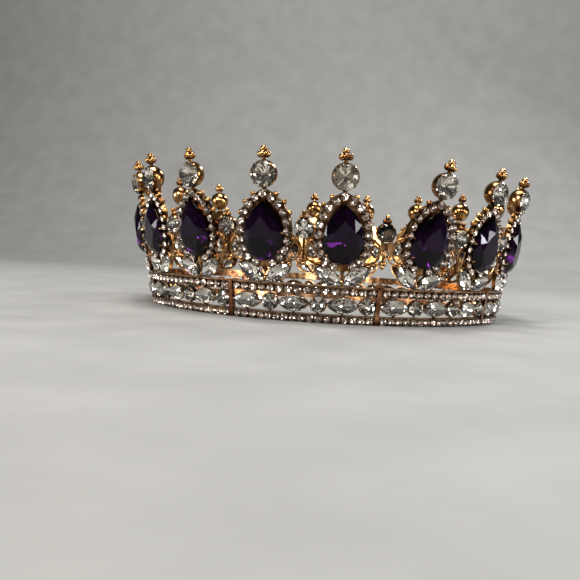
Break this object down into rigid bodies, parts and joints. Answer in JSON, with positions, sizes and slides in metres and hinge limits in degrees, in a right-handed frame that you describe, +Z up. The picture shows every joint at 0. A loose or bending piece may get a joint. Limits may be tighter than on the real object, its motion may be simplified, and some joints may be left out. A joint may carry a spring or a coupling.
{
  "type": "crown",
  "caption": "Full-round flared crown: stone-set band under tall peaks, each with a dark purple pear stone, small clear stones and a ball finial.",
  "frame": {"origin": "on the floor plane at the middle of the crown's foot", "axes": "+Z up along the crown's axis; -Y is the front, at the middle of a band segment between two peaks; +X to the right seen from the front"},
  "size_m": [0.164, 0.162, 0.0561],
  "materials": {
    "gold_band": "polished gold plate, darkened in the recesses",
    "gold_peak": "polished gold plate, darkened in the recesses",
    "purple_glass": "faceted, foil-backed, nearly black purple",
    "clear_glass": "faceted clear crystal, foil-backed",
    "small_stones": "small faceted clear crystals in gold cups"
  },
  "bodies": {
    "root": {"band_segment_01": "gold_band", "band_segment_02": "gold_band", "band_segment_03": "gold_band", "band_segment_04": "gold_band", "band_segment_05": "gold_band", "band_segment_06": "gold_band", "band_segment_07": "gold_band", "band_segment_08": "gold_band", "band_segment_09": "gold_band", "peak_01": "gold_peak", "peak_02": "gold_peak", "peak_03": "gold_peak", "peak_04": "gold_peak", "peak_05": "gold_peak", "peak_06": "gold_peak", "peak_07": "gold_peak", "peak_08": "gold_peak", "peak_09": "gold_peak", "peak_10": "gold_peak", "peak_11": "gold_peak", "peak_12": "gold_peak", "peak_13": "gold_peak", "peak_14": "gold_peak", "peak_15": "gold_peak", "peak_16": "gold_peak", "peak_17": "gold_peak", "peak_18": "gold_peak", "pear_stone_01": "purple_glass", "pear_stone_02": "purple_glass", "pear_stone_03": "purple_glass", "pear_stone_04": "purple_glass", "pear_stone_05": "purple_glass", "pear_stone_06": "purple_glass", "pear_stone_07": "purple_glass", "pear_stone_08": "purple_glass", "pear_stone_09": "purple_glass", "pear_stone_10": "purple_glass", "pear_stone_11": "purple_glass", "pear_stone_12": "purple_glass", "pear_stone_13": "purple_glass", "pear_stone_14": "purple_glass", "pear_stone_15": "purple_glass", "pear_stone_16": "purple_glass", "pear_stone_17": "purple_glass", "pear_stone_18": "purple_glass", "crest_stones": "clear_glass", "link_stones": "clear_glass", "leaf_stones": "clear_glass", "band_marquises": "clear_glass", "band_rounds": "clear_glass", "halo_rows": "small_stones", "lower_rail_row": "small_stones", "upper_rail_row": "small_stones"}
  },
  "joints": []
}
